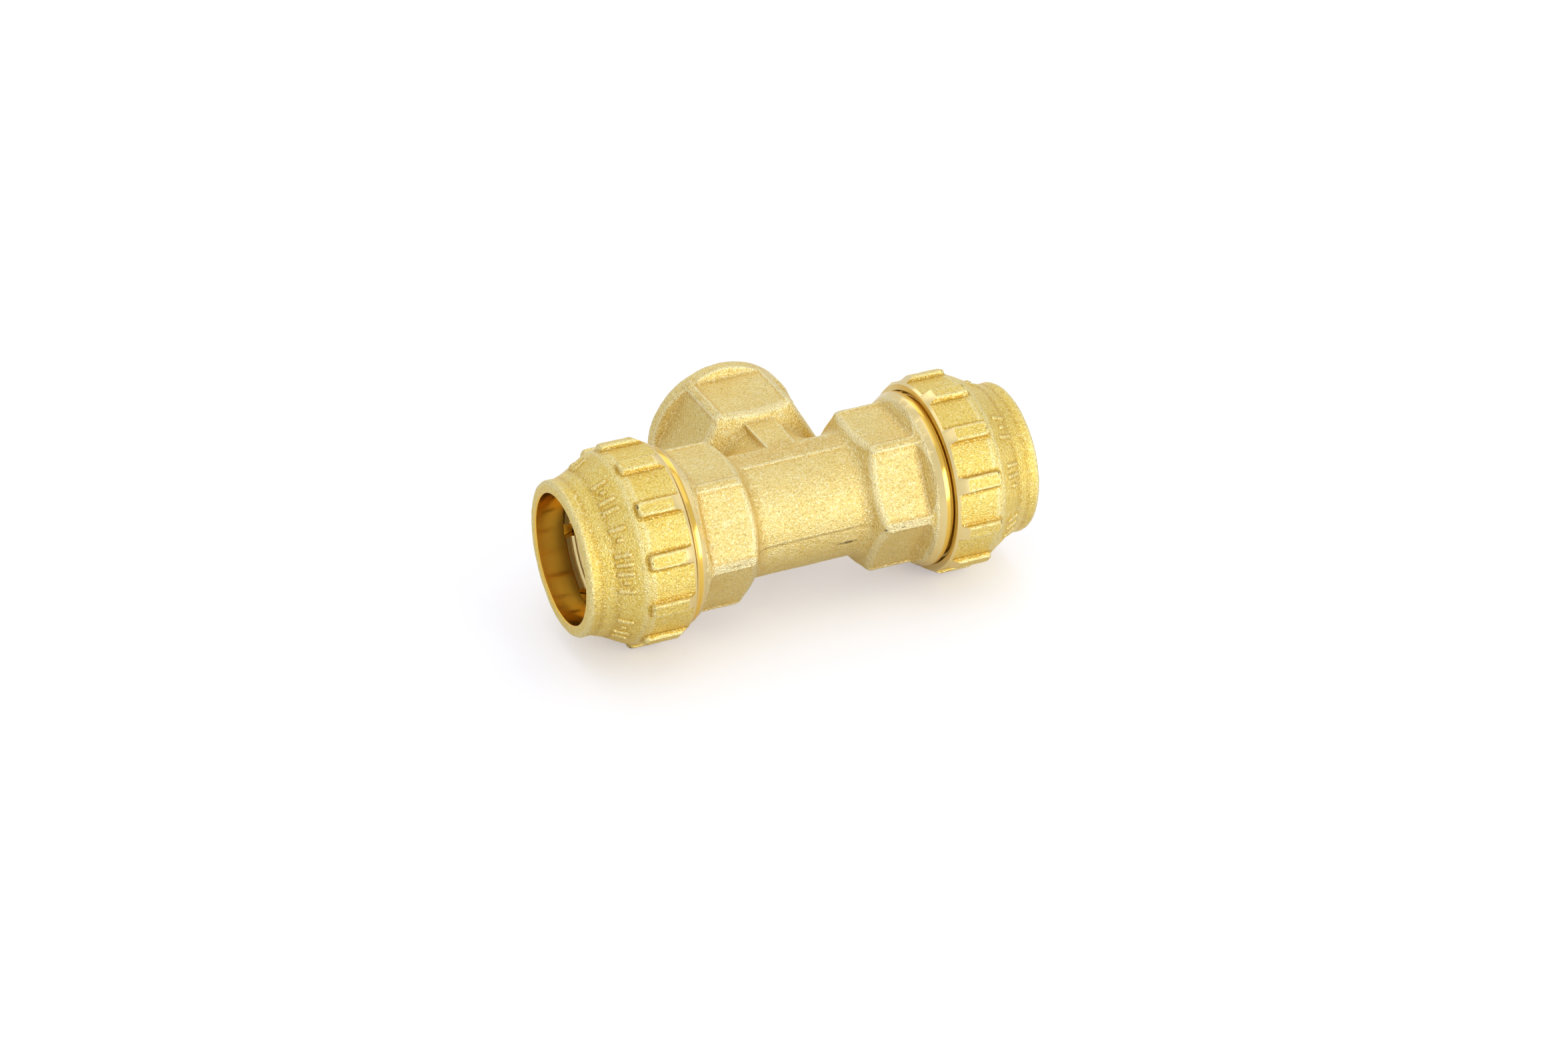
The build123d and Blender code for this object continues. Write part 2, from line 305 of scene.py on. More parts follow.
def calc(tree, operation, a, b=0.0):
    node = tree.nodes.new("ShaderNodeMath")
    node.operation = operation
    for socket, value in zip(node.inputs, (a, b)):
        if isinstance(value, (int, float)):
            socket.default_value = value
        else:
            tree.links.new(value, socket)
    return node.outputs[0]


def mapRange(tree, value, low, high, toLow=0.0, toHigh=1.0):
    node = tree.nodes.new("ShaderNodeMapRange")
    tree.links.new(value, node.inputs["Value"])
    for label, number in (("From Min", low), ("From Max", high), ("To Min", toLow), ("To Max", toHigh)):
        node.inputs[label].default_value = number
    return node.outputs["Result"]


def mixColor(tree, factor, a, b):
    node = tree.nodes.new("ShaderNodeMix")
    node.data_type = "RGBA"
    for socket, value in ((node.inputs[0], factor), (node.inputs[6], a), (node.inputs[7], b)):
        if isinstance(value, (int, float)):
            socket.default_value = value
        elif isinstance(value, tuple):
            socket.default_value = (*value, 1.0)
        else:
            tree.links.new(value, socket)
    return node.outputs[2]


def noise(tree, vector, scale, detail, roughness):
    node = tree.nodes.new("ShaderNodeTexNoise")
    tree.links.new(vector, node.inputs["Vector"])
    if isinstance(scale, (int, float)):
        node.inputs["Scale"].default_value = scale
    else:
        tree.links.new(scale, node.inputs["Scale"])
    node.inputs["Detail"].default_value = detail
    node.inputs["Roughness"].default_value = roughness
    return node.outputs["Fac"]


grainShape = {
    "cellSmoothness": 0.6, "cellShare": 0.55, "broadShare": 0.45,
    # scale, detail and roughness of each noise; the first three scales are per grain, the others per metre
    "fine": (0.9, 3.0, 0.65), "broad": (0.22, 2.0, 0.5), "spots": (0.75, 2.0, 0.6),
    "mottle": (130.0, 3.0, 0.55), "worn": (300.0, 5.0, 0.72),
    # where each mask begins and where it is full
    "pitRange": (0.55, 0.70), "facetRange": (0.47, 0.33),
    "mottleRange": (0.35, 0.68), "wornRange": (0.57, 0.72),
}
markShape = {
    "squeeze": (2600.0, 60.0, 60.0), "noise": (1.0, 3.0, 0.6), "waveShare": 0.25, "streakRange": (0.3, 0.7)}


def buildBlastGrain():
    # shot-blasted skin: packed dimples, dark pits, bright facets and slow mottling
    group, source, result = newGroup(
        "blastGrain",
        [("Vector", "NodeSocketVector", None), ("Grain Size", "NodeSocketFloat", 0.3)],
        [("Height", "NodeSocketFloat"), ("Pits", "NodeSocketFloat"), ("Facets", "NodeSocketFloat"),
         ("Mottle", "NodeSocketFloat"), ("Worn", "NodeSocketFloat")])
    vector = source.outputs["Vector"]
    density = calc(group, "DIVIDE", 1.0 / mm, source.outputs["Grain Size"])
    cells = group.nodes.new("ShaderNodeTexVoronoi")
    cells.feature = "SMOOTH_F1"
    cells.inputs["Smoothness"].default_value = grainShape["cellSmoothness"]
    group.links.new(vector, cells.inputs["Vector"])
    group.links.new(density, cells.inputs["Scale"])

    def perGrain(name):
        scale, detail, roughness = grainShape[name]
        return noise(group, vector, calc(group, "MULTIPLY", density, scale), detail, roughness)

    dimples = calc(group, "MULTIPLY", cells.outputs["Distance"], grainShape["cellShare"])
    height = calc(group, "ADD", dimples, perGrain("fine"))
    swell = calc(group, "MULTIPLY", perGrain("broad"), grainShape["broadShare"])
    group.links.new(calc(group, "ADD", height, swell), result.inputs["Height"])
    spots = perGrain("spots")
    mottle = noise(group, vector, *grainShape["mottle"])
    worn = noise(group, vector, *grainShape["worn"])
    for label, value, limits in (("Pits", spots, "pitRange"), ("Facets", spots, "facetRange"),
                                 ("Mottle", mottle, "mottleRange"), ("Worn", worn, "wornRange")):
        group.links.new(mapRange(group, value, *grainShape[limits]), result.inputs[label])
    return group


def buildToolMarks():
    # fine rings left by a turning tool, in the direction of X, with a little chatter
    group, source, result = newGroup(
        "toolMarks",
        [("Vector", "NodeSocketVector", None), ("Pitch", "NodeSocketFloat", 0.16)],
        [("Height", "NodeSocketFloat"), ("Streaks", "NodeSocketFloat")])
    parts = group.nodes.new("ShaderNodeSeparateXYZ")
    group.links.new(source.outputs["Vector"], parts.inputs[0])
    turns = calc(group, "DIVIDE", 2 * math.pi / mm, source.outputs["Pitch"])
    wave = calc(group, "SINE", calc(group, "MULTIPLY", parts.outputs["X"], turns))
    squeeze = group.nodes.new("ShaderNodeVectorMath")
    squeeze.operation = "MULTIPLY"
    squeeze.inputs[1].default_value = markShape["squeeze"]
    group.links.new(source.outputs["Vector"], squeeze.inputs[0])
    streaks = noise(group, squeeze.outputs[0], *markShape["noise"])
    height = calc(group, "ADD", calc(group, "MULTIPLY", wave, markShape["waveShare"]), streaks)
    group.links.new(height, result.inputs["Height"])
    group.links.new(mapRange(group, streaks, *markShape["streakRange"]), result.inputs["Streaks"])
    return group


blastGrain = buildBlastGrain()
toolMarks = buildToolMarks()


def newMaterial(name):
    material = bpy.data.materials.new(name)
    material.use_nodes = True
    tree = material.node_tree
    return material, tree, tree.nodes["Principled BSDF"]


def useGroup(tree, group, axis="X", **values):
    # the group in a material, with its X along the axis that the surface was turned about
    node = tree.nodes.new("ShaderNodeGroup")
    node.node_tree = group
    spot = tree.nodes.new("ShaderNodeTexCoord")
    if axis == "Y":
        swing = tree.nodes.new("ShaderNodeMapping")
        swing.inputs["Rotation"].default_value = (0, 0, math.radians(-90))
        tree.links.new(spot.outputs["Object"], swing.inputs["Vector"])
        tree.links.new(swing.outputs["Vector"], node.inputs["Vector"])
    else:
        tree.links.new(spot.outputs["Object"], node.inputs["Vector"])
    for label, value in values.items():
        node.inputs[label.replace("_", " ")].default_value = value
    return node.outputs


def attribute(tree, name):
    node = tree.nodes.new("ShaderNodeAttribute")
    node.attribute_name = name
    return node.outputs["Fac"]


def bump(tree, height, strength, distance):
    node = tree.nodes.new("ShaderNodeBump")
    node.inputs["Strength"].default_value = strength
    node.inputs["Distance"].default_value = distance * mm
    tree.links.new(height, node.inputs["Height"])
    return node.outputs["Normal"]


def forgedBrass(name, look):
    material, tree, shader = newMaterial(name)
    grain = useGroup(tree, blastGrain, Grain_Size=look["grainSize"])
    edge = attribute(tree, "edge")
    color = mixColor(tree, grain["Mottle"], look["color"], look["mottle"])
    # the hollow colour paints shade in hollows and at the feet of the ticks
    # the pale edge colour paints a highlight on convex edges and tick tops, and also marks real wear on worn
    # patches and the ground flash strip; glint paints a glint on random facets
    for mask, share, layer in (
            (attribute(tree, "hollow"), "hollowShare", "hollow"), (edge, "edgeShare", "edge"),
            (grain["Worn"], "wornShare", "edge"), (grain["Facets"], "glint", "edge"),
            (grain["Pits"], "pitShare", "pit"),
            (attribute(tree, "scale"), "scaleShare", "scale")):
        color = mixColor(tree, calc(tree, "MULTIPLY", mask, look[share]), color, look[layer])
    tree.links.new(color, shader.inputs["Base Color"])
    rough = look["roughness"]
    for mask, polish in ((grain["Facets"], "facetPolish"), (edge, "edgePolish")):
        rough = calc(tree, "SUBTRACT", rough, calc(tree, "MULTIPLY", mask, look[polish]))
    tree.links.new(rough, shader.inputs["Roughness"])
    shader.inputs["Metallic"].default_value = 1.0
    tree.links.new(bump(tree, grain["Height"], look["bump"], look["depth"]), shader.inputs["Normal"])
    return material


def turnedBrass(name, look, axis="X"):
    anisotropy, quarterTurn = 0.7, 0.25
    material, tree, shader = newMaterial(name)
    marks = useGroup(tree, toolMarks, axis, Pitch=look["pitch"])
    color = mixColor(tree, marks["Streaks"], look["color"], look["streak"])
    tree.links.new(color, shader.inputs["Base Color"])
    tree.links.new(mapRange(tree, marks["Streaks"], 0.0, 1.0, look["smoothest"], look["roughest"]),
                   shader.inputs["Roughness"])
    shader.inputs["Metallic"].default_value = 1.0
    shader.inputs["Anisotropic"].default_value = anisotropy
    shader.inputs["Anisotropic Rotation"].default_value = quarterTurn
    around = tree.nodes.new("ShaderNodeTangent")
    around.direction_type = "RADIAL"
    around.axis = axis
    tree.links.new(around.outputs["Tangent"], shader.inputs["Tangent"])
    tree.links.new(bump(tree, marks["Height"], look["bump"], look["depth"]), shader.inputs["Normal"])
    return material


def sealRubber(name, look):
    material, tree, shader = newMaterial(name)
    grain = useGroup(tree, blastGrain, Grain_Size=look["grainSize"])
    color = mixColor(tree, grain["Mottle"], look["color"], look["mottle"])
    tree.links.new(color, shader.inputs["Base Color"])
    tree.links.new(mapRange(tree, grain["Facets"], 0.0, 1.0, look["smoothest"], look["roughest"]),
                   shader.inputs["Roughness"])
    tree.links.new(bump(tree, grain["Height"], look["bump"], look["depth"]), shader.inputs["Normal"])
    return material


def supportPlastic(name, look):
    material, tree, shader = newMaterial(name)
    marks = useGroup(tree, toolMarks, Pitch=look["pitch"])
    color = mixColor(tree, marks["Streaks"], look["color"], look["streak"])
    tree.links.new(color, shader.inputs["Base Color"])
    tree.links.new(mapRange(tree, marks["Streaks"], 0.0, 1.0, look["smoothest"], look["roughest"]),
                   shader.inputs["Roughness"])
    tree.links.new(bump(tree, marks["Height"], look["bump"], look["depth"]), shader.inputs["Normal"])
    return material


forgedLook = {
    "edgeShare": 0.6, "pitShare": 0.6, "wornShare": 0.6, "glint": 0.8, "scale": (0.10, 0.055, 0.02),
    "scaleShare": 0.92, "grainSize": 0.36, "facetPolish": 0.12, "edgePolish": 0.08, "bump": 1.0, "depth": 0.24}
# the edge colour is a painted highlight colour, also used for real worn patches
# the hollow colour is painted shade for hollows and tick feet
bodySkin = forgedBrass("bodySkin", {
    **forgedLook, "color": (0.89, 0.685, 0.24), "mottle": (0.93, 0.745, 0.30), "hollow": (0.78, 0.53, 0.16),
    "hollowShare": 0.55, "edge": (1.0, 0.90, 0.56), "pit": (0.48, 0.33, 0.09), "roughness": 0.37})
nutSkin = forgedBrass("nutSkin", {
    **forgedLook, "color": (0.91, 0.675, 0.155), "mottle": (0.93, 0.72, 0.205), "hollow": (0.66, 0.40, 0.05),
    "hollowShare": 0.85, "edge": (1.0, 0.88, 0.45), "pit": (0.50, 0.31, 0.05), "roughness": 0.35})
turnedLook = {
    "color": (0.96, 0.78, 0.38), "streak": (0.95, 0.75, 0.34), "pitch": 0.16,
    "smoothest": 0.22, "roughest": 0.28, "bump": 0.1, "depth": 0.006}
# a deeper orange than the turned faces, painted interreflected light in the bores and a darker reflection on
# the collar and spigot
boreLook = {
    "color": (0.96, 0.64, 0.13), "streak": (0.94, 0.60, 0.11), "pitch": 0.2,
    "smoothest": 0.15, "roughest": 0.22, "bump": 0.15, "depth": 0.006}
# a deeper gold than the turned faces, painted interreflected light in the gap between nut and collar
threadLook = {
    "color": (0.94, 0.68, 0.22), "streak": (0.91, 0.64, 0.18), "pitch": 0.12,
    "smoothest": 0.18, "roughest": 0.26, "bump": 0.1, "depth": 0.005}
turnedFace = turnedBrass("turnedFace", turnedLook)
boreFace = turnedBrass("boreFace", boreLook)
threadFace = turnedBrass("threadFace", threadLook)
branchFace = turnedBrass("branchFace", turnedLook, "Y")
branchBoreFace = turnedBrass("branchBoreFace", boreLook, "Y")
branchThreadFace = turnedBrass("branchThreadFace", threadLook, "Y")
rubberFace = sealRubber("sealRubberFace", {
    "color": (0.012, 0.012, 0.013), "mottle": (0.028, 0.027, 0.026), "grainSize": 0.12,
    "smoothest": 0.48, "roughest": 0.62, "bump": 0.25, "depth": 0.01})
plasticFace = supportPlastic("supportPlasticFace", {
    "color": (0.80, 0.79, 0.74), "streak": (0.72, 0.70, 0.64), "pitch": 0.2,
    "smoothest": 0.38, "roughest": 0.5, "bump": 0.2, "depth": 0.01})
print("materials made")


# the edge numbers set the painted highlight on convex edges and tick tops
# the hollow numbers set the painted shade in hollows and at tick feet
skinMasks = {
    "spread": 0.6, "edgeFrom": 0.15, "edgeOver": 0.55, "hollowFrom": 0.05, "hollowOver": 0.5,
    "tickEdge": 0.8, "tickHollow": 0.9, "scaleReach": 1.6, "scaleRagged": 0.35, "scaleGrain": 0.9,
    "sharpAngle": 38}


def places(items, field):
    # a vector of each vertex or face, in mm
    values = np.zeros(len(items) * 3, np.float32)
    items.foreach_get(field, values)
    return values.reshape(-1, 3).astype(float) / mm


def paint(piece, field, isBore, scaleSpots=(), trimmed=None, seam=None, strokes=None):
    # the turned faces inside a bore get its finish, and the skin gets its masks: a painted highlight on convex
    # edges and tick tops, painted shade in hollows and at tick feet, dark scale and the ground flash strip
    mesh = piece.data
    middle = places(mesh.polygons, "center")
    slots = np.zeros(len(mesh.polygons), np.int32)
    mesh.polygons.foreach_get("material_index", slots)
    slots[(slots == 1) & isBore(middle)] = 2
    # the branch is turned about Y, everything else about X
    slots[(slots > 0) & (middle[:, 1] > np.abs(middle[:, 0]))] += 2
    mesh.polygons.foreach_set("material_index", slots)
    mesh.polygons.foreach_set("use_smooth", np.ones(len(mesh.polygons), bool))
    mesh.set_sharp_from_angle(angle=math.radians(skinMasks["sharpAngle"]))
    co = places(mesh.vertices, "co")
    spread = skinMasks["spread"]
    bend = np.zeros(len(co))
    for axis in range(3):
        nudge = np.zeros(3)
        nudge[axis] = spread
        bend += field(*(co + nudge).T) + field(*(co - nudge).T)
    bend = (bend - 6 * field(*co.T)) / spread ** 2
    # bend above zero marks convex edges, which get a painted highlight
    # bend below zero marks hollows, which get painted shade
    masks = {
        "edge": np.clip((bend - skinMasks["edgeFrom"]) / skinMasks["edgeOver"], 0, 1),
        "hollow": np.clip((-bend - skinMasks["hollowFrom"]) / skinMasks["hollowOver"], 0, 1),
        "scale": np.zeros(len(co))}
    # tick feet get painted shade
    # tick tops get a painted highlight
    if strokes is not None:
        top, foot = strokes(co)
        masks["edge"] = np.maximum(masks["edge"], skinMasks["tickEdge"] * top)
        foot = skinMasks["tickHollow"] * np.clip(foot - top, 0, 1)
        masks["hollow"] = np.maximum(masks["hollow"], foot)
    if seam is not None:
        masks["scale"] = np.maximum(masks["scale"], seam(co))
    if trimmed is not None:
        masks["edge"] = np.maximum(masks["edge"], trimmed(co))
    for centre, size in scaleSpots:
        away = np.linalg.norm((co - np.array(centre)) / np.array(size), axis=1)
        ragged = skinMasks["scaleRagged"] * ripple(co, skinMasks["scaleGrain"], 5)
        spot = np.clip(skinMasks["scaleReach"] - away + ragged, 0, 1)
        masks["scale"] = np.maximum(masks["scale"], spot)
    for name, values in masks.items():
        layer = mesh.attributes.new(name, "FLOAT", "POINT")
        layer.data.foreach_set("value", values.astype(np.float32))


tee = {
    "tubeRadius": 15.35, "tubeHalfLength": 14.8, "shoulderSlope": 60, "shoulderHollow": 1.8, "browRound": 1.1,
    "apothem": 18.2, "cornerRadius": 20.4, "cornerRound": 0.3, "flatSink": 0.35,
    "stripHalf": 1.15, "stripDraft": 0.25, "stripRoot": 3, "stripFoot": 0.25, "flashTrim": 0.10,
    "flareStart": 29.6, "flareSlope": 62.4, "bandBlend": 0.9, "bandSlack": 0.85, "runStock": 0.2,
    "collarStart": 31.35, "collarStartRadius": 21.55, "collarLead": 1.5, "collarRadius": 22.5,
    "collarEnd": 34.5, "collarEdge": 0.35, "collarFoot": 0.35, "collarOverlap": 1.1, "collarUndercut": 0.1,
    "spigotRadius": 20.75, "spigotLead": 1.0, "runoutRadius": 21.85, "runoutLength": 0.55, "runoutFoot": 0.2,
    "edgeBreak": 0.08, "seatStart": 36.6, "seatRadius": 18.75, "seatLead": 0.5, "reamerLead": 0.5,
    "pipeStop": 20.0,
    "neckRadius": 14.2, "branchShoulder": 16.4, "rimLength": 3.4, "rimRadius": 20.2, "rimRound": 0.9,
    "branchFlare": 1.2, "branchBlend": 2.6, "threadDepth": 19.3, "threadRunout": 3.0, "entryChamfer": 0.8,
    "rimBlend": 0.6, "heelBlend": 1.2, "rimOverlap": 2.0, "rimStock": 0.1,
    "landTop": 15.6, "landHalf": 14.4, "landFront": -2.7, "landBack": 4.3, "landRound": 0.3, "landBlend": 0.5,
    "blockHalf": 4.0, "blockEnd": 17.5, "dieStep": 0.08, "dieBlur": 0.25,
    # height, length and seed of the soft unevenness
    "waves": ((0.035, 7.0, 11), (0.018, 2.2, 12)),
    "markSunk": 0.28, "markRaised": 0.2, "markBlur": 0.3, "markReach": 0.6,
    # the seam that stands proud, the ground flash on the corners, and the dark parting line
    "seamHeight": 0.09, "seamWidth": 0.28, "seamHalf": 16.5, "seamFront": 3.0, "seamBlur": 2.0,
    "flashMiddle": 23.2, "flashHalf": 6.2, "flashDepth": 20.15, "flashHeight": 1.1,
    "lineShade": 0.3, "lineBreak": 0.12, "lineLevel": -0.15, "lineWidth": 0.22,
    "lineMiddle": -1.3, "lineHalf": 14.3,
    "voxel": 0.3, "margin": 1.2, "gridFront": -23.0, "gridHalfHeight": 21.6,
}
tee["branchEnd"] = reach("tee_body", 1)
tee["tip"] = reach("tee_body", 0)
tee["waterway"] = boreRadius("waterway")
tee["socket"] = boreRadius("right_pipe_socket")
tee["branchBore"] = boreRadius("branch_thread")


def teeField(x, y, z):
    along, radius = np.abs(x), np.hypot(y, z)
    # the die halves meet a little out of line
    mismatch = tee["dieStep"] * np.tanh(z / tee["dieBlur"])
    tube = radius - tee["tubeRadius"] - mismatch
    shoulder = slopeFrom(along, radius, tee["tubeHalfLength"], tee["tubeRadius"], tee["shoulderSlope"])
    flats = roundedMeet(wrenchBar(y, z, tee), shoulder, tee["browRound"])
    flats = np.maximum(flats, np.abs(y) - tee["cornerRadius"] + tee["flashTrim"])
    # past the flats the bar flares as a hexagon until it reaches the round band under the collar
    flare = slopeFrom(along, wrenchFlats(y, z, 0.0), tee["flareStart"], tee["apothem"], tee["flareSlope"])
    bandSlope = (tee["collarStartRadius"] - tee["cornerRadius"]) / (tee["collarStart"] - tee["flareStart"])
    bandRadius = tee["cornerRadius"] + bandSlope * (along - tee["flareStart"])
    bandRadius = np.minimum(bandRadius, tee["collarStartRadius"])
    band = np.maximum((radius - bandRadius) * tee["bandSlack"], flare)
    run = roundedUnion(tube, roundedUnion(flats, band, tee["bandBlend"]), tee["shoulderHollow"])
    run = np.maximum(run, along - tee["collarStart"] - tee["runStock"])

    branchRadius = np.hypot(x, z)
    neck = np.maximum(branchRadius - tee["neckRadius"], -y)
    heel = slopeFrom(y, branchRadius, tee["branchShoulder"], tee["neckRadius"], tee["shoulderSlope"])
    nutFlats = roundedMeet(wrenchBar(x, z, tee), heel, tee["browRound"])
    flareStart = tee["branchEnd"] - tee["rimLength"] - tee["branchFlare"]
    rimFlare = slopeFrom(y, wrenchFlats(x, z, 0.0), flareStart, tee["apothem"], tee["flareSlope"])
    rim = np.maximum(branchRadius - tee["rimRadius"], rimFlare)
    nutFlats = np.maximum(nutFlats, y - flareStart - tee["rimOverlap"])
    branch = roundedUnion(neck, roundedUnion(nutFlats, rim, tee["rimBlend"]), tee["heelBlend"])
    branch = roundedMeet(branch, y - tee["branchEnd"] - tee["rimStock"], tee["rimRound"])
    body = roundedUnion(run, branch, tee["branchBlend"])

    landMiddle = (tee["landFront"] + tee["landBack"]) / 2
    landWidth = (tee["landBack"] - tee["landFront"]) / 2
    land = np.maximum(along - tee["landHalf"], np.abs(y - landMiddle) - landWidth)
    blockMiddle = tee["blockEnd"] / 2
    block = np.maximum(along - tee["blockHalf"], np.abs(y - blockMiddle) - blockMiddle)
    top = roundedMeet(np.minimum(land, block), z - tee["landTop"], tee["landRound"])
    top = np.maximum(top, -z)
    return roundedUnion(body, top, tee["landBlend"])


# sunk plates and raised strokes of a generic foundry mark: x, y, half width, half height
markPlates = [(-3.4, 0.4, 1.5, 1.7), (1.8, 1.5, 4.0, 1.4)]
markStrokes = [(-4.3 + 0.9 * k, 0.4, 0.22, 1.1) for k in range(3)]
markStrokes += [(-1.3 + 1.3 * k, 1.5, 0.25, 0.85) for k in range(6)]


def markBars(p, q, bars):
    cover = np.zeros(len(p))
    for cp, cq, halfP, halfQ in bars:
        outside = np.maximum(np.abs(p - cp) - halfP, np.abs(q - cq) - halfQ)
        cover = np.maximum(cover, plateau(outside, tee["markBlur"]))
    return cover


def teeRelief(points):
    x, y, z = points.T
    relief = sum(height * ripple(points, length, seed) for height, length, seed in tee["waves"])
    onTop = plateau(np.abs(z - tee["landTop"]) - tee["markReach"], tee["markBlur"])
    sunk, raised = markBars(x, y, markPlates), markBars(x, y, markStrokes)
    relief += onTop * (-tee["markSunk"] * sunk + tee["markRaised"] * raised * sunk)
    reachX = plateau(np.abs(x) - tee["seamHalf"], tee["seamBlur"])
    seam = np.exp(-(z / tee["seamWidth"]) ** 2) * plateau(y + tee["seamFront"], tee["seamBlur"]) * reachX
    return relief + tee["seamHeight"] * seam


def edged(points, size):
    # profile with each inner corner cut by a small chamfer
    made = [points[0]]
    for before, here, after in zip(points, points[1:], points[2:]):
        for other in (before, after):
            away = math.dist(here, other)
            share = min(size / away, 0.4)
            made.append((here[0] + (other[0] - here[0]) * share, here[1] + (other[1] - here[1]) * share))
    made.append(points[-1])
    return made


def buildTee():
    margin = tee["margin"]
    low = (-tee["collarStart"] - margin, tee["gridFront"], -tee["gridHalfHeight"])
    high = (tee["collarStart"] + margin, tee["branchEnd"] + margin, tee["gridHalfHeight"])
    body = forge("tee_forging", teeField, bodySkin, low, high, tee["voxel"], teeRelief)
    foot, runoutEnd = tee["collarStart"] - tee["collarFoot"], tee["collarEnd"] + tee["runoutLength"]
    for side in (-1, 1):
        profile = [
            (foot, 0), (foot, tee["collarStartRadius"] - tee["collarOverlap"]),
            (tee["collarStart"], tee["collarStartRadius"] - tee["collarUndercut"]),
            (tee["collarStart"] + tee["collarLead"], tee["collarRadius"]),
            (tee["collarEnd"] - tee["collarEdge"], tee["collarRadius"]),
            (tee["collarEnd"], tee["collarRadius"] - tee["collarEdge"]),
            (tee["collarEnd"], tee["runoutRadius"]), (runoutEnd, tee["runoutRadius"]),
            (runoutEnd + tee["runoutFoot"], tee["spigotRadius"]),
            (tee["tip"] - tee["spigotLead"], tee["spigotRadius"]),
            (tee["tip"], tee["spigotRadius"] - tee["spigotLead"]), (tee["tip"], 0)]
        carve(body, lathe("collar", edged(profile, tee["edgeBreak"]), alongRun(side)), "UNION")
    mouth = tee["seatRadius"] + tee["seatLead"]
    outward = [
        (tee["pipeStop"], tee["waterway"]), (tee["pipeStop"], tee["socket"]),
        (tee["seatStart"], tee["socket"]), (tee["seatStart"], tee["seatRadius"]),
        (tee["tip"] - tee["seatLead"], tee["seatRadius"]), (tee["tip"], mouth),
        (tee["tip"] + 1, mouth + tee["reamerLead"]), (tee["tip"] + 1, 0)]
    inward = [(-along, radius) for along, radius in reversed(outward)]
    carve(body, lathe("runBore", inward + outward, alongRun(1)), "DIFFERENCE")
    threadStart = tee["branchEnd"] - tee["threadDepth"]
    beyond, wide = tee["branchEnd"] + 2, 26
    branchProfile = [
        (0, 0), (0, tee["waterway"]), (threadStart - tee["threadRunout"], tee["waterway"]),
        (threadStart, tee["branchBore"]), (tee["branchEnd"] - tee["entryChamfer"], tee["branchBore"]),
        (tee["branchEnd"], tee["branchBore"] + tee["entryChamfer"]), (tee["branchEnd"], wide),
        (beyond, wide), (beyond, 0)]
    carve(body, lathe("branchBore", branchProfile, alongBranch), "DIFFERENCE")

    # bore walls, the collar's cylinder and the spigot get the bore finish, whose deeper orange is painted
    # interreflected light
    def isBore(middle):
        near, hair, endFace = 0.1, 0.02, 0.2
        along, radius = np.abs(middle[:, 0]), np.hypot(middle[:, 1], middle[:, 2])
        branchRadius = np.hypot(middle[:, 0], middle[:, 2])
        insideRun = radius < tee["seatRadius"] + near
        insideBranch = (middle[:, 1] > 0) & (branchRadius < tee["branchBore"] + near)
        collar = along > tee["collarStart"] + tee["collarLead"] + near / 2
        collar &= (radius > tee["collarRadius"] - hair) | (along > tee["collarEnd"] + near)
        return (insideRun | collar) & (along < tee["tip"] - endFace) | insideBranch

    # dark forging scale: a fleck low on the tube and specks along the front flat
    spots = [((9.6, -14.6, -4.6), (1.9, 0.8, 0.28)), ((16.9, -19.0, 6.6), (0.35, 0.5, 1.4)),
             ((16.9, -19.4, 3.0), (0.3, 0.5, 0.8)), ((17.1, -19.9, -0.2), (0.6, 0.4, 0.25)),
             ((22.0, -20.3, -0.1), (0.5, 0.4, 0.15)), ((-22.6, -20.3, 0.0), (2.6, 0.4, 0.12))]

    def flashCorner(points):
        # the strip left where the flash was ground off the front and back corners of the flats
        x, y, z = points.T
        inFlats = plateau(np.abs(np.abs(x) - tee["flashMiddle"]) - tee["flashHalf"], 0.6)
        onCorner = plateau(tee["flashDepth"] - np.abs(y), 0.2)
        return inFlats * onCorner * plateau(np.abs(z) - tee["flashHeight"], 0.8)

    def partingLine(points):
        x, y, z = points.T
        broken = tee["lineShade"] + tee["lineBreak"] * ripple(points, 3.0, 31)
        line = np.exp(-((z - tee["lineLevel"]) / tee["lineWidth"]) ** 2)
        line *= plateau(np.abs(x - tee["lineMiddle"]) - tee["lineHalf"], 1.5)
        return broken * line * plateau(y + tee["seamFront"], tee["seamBlur"])

    paint(body, teeField, isBore, spots, flashCorner, partingLine)
    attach(body, "tee")
    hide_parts("tee_body")


buildTee()
print("tee body forged")

nut = {
    "radius": 24.4, "coneEnd": 47.4, "coneStart": 56.2, "coneOverlap": 1.5, "mouthRadius": 19.55,
    "neckDepth": 0.3, "neckAt": 57.4, "neckWidth": 1.3, "neckHollow": 1.5,
    "shoulderRound": 0.7, "lipRound": 1.0, "innerLipRound": 0.45, "lipStock": 0.03,
    "boreEnd": 53.4, "seatRadius": 17.5, "seatWide": 21.19, "seatEnd": 46.6,
    "threadRoot": 22.1, "relief": 22.3, "reliefStart": 44.9, "entryChamfer": 0.45,
    "ribs": 12, "ribTop": 25.62, "ribHalf": 2.05, "ribDraft": 13, "ribEnd": 47.3, "ribCorner": 1.1,
    "ribEdge": 0.25, "ribFoot": 0.3, "tickHeight": 0.4, "tickWidth": 0.45, "tickFoot": 0.45, "tickBlur": 0.35,
    "tickShift": 0.6, "tickDepth": 0.9, "waves": ((0.03, 6.0, 21), (0.018, 2.0, 23)),
    "rearSlope": 30, "rearDepth": 0.4, "rearStock": 0.6, "fleckRadius": 25.3, "fleckTurn": 3.4,
    "lipReach": 0.6, "voxel": 0.25, "gridMargin": 0.8, "gridBehind": 1.4, "gridBeyond": 0.9,
}
nut["face"] = start("right_nut", 0)
nut["end"] = reach("right_nut", 0) - 0.1
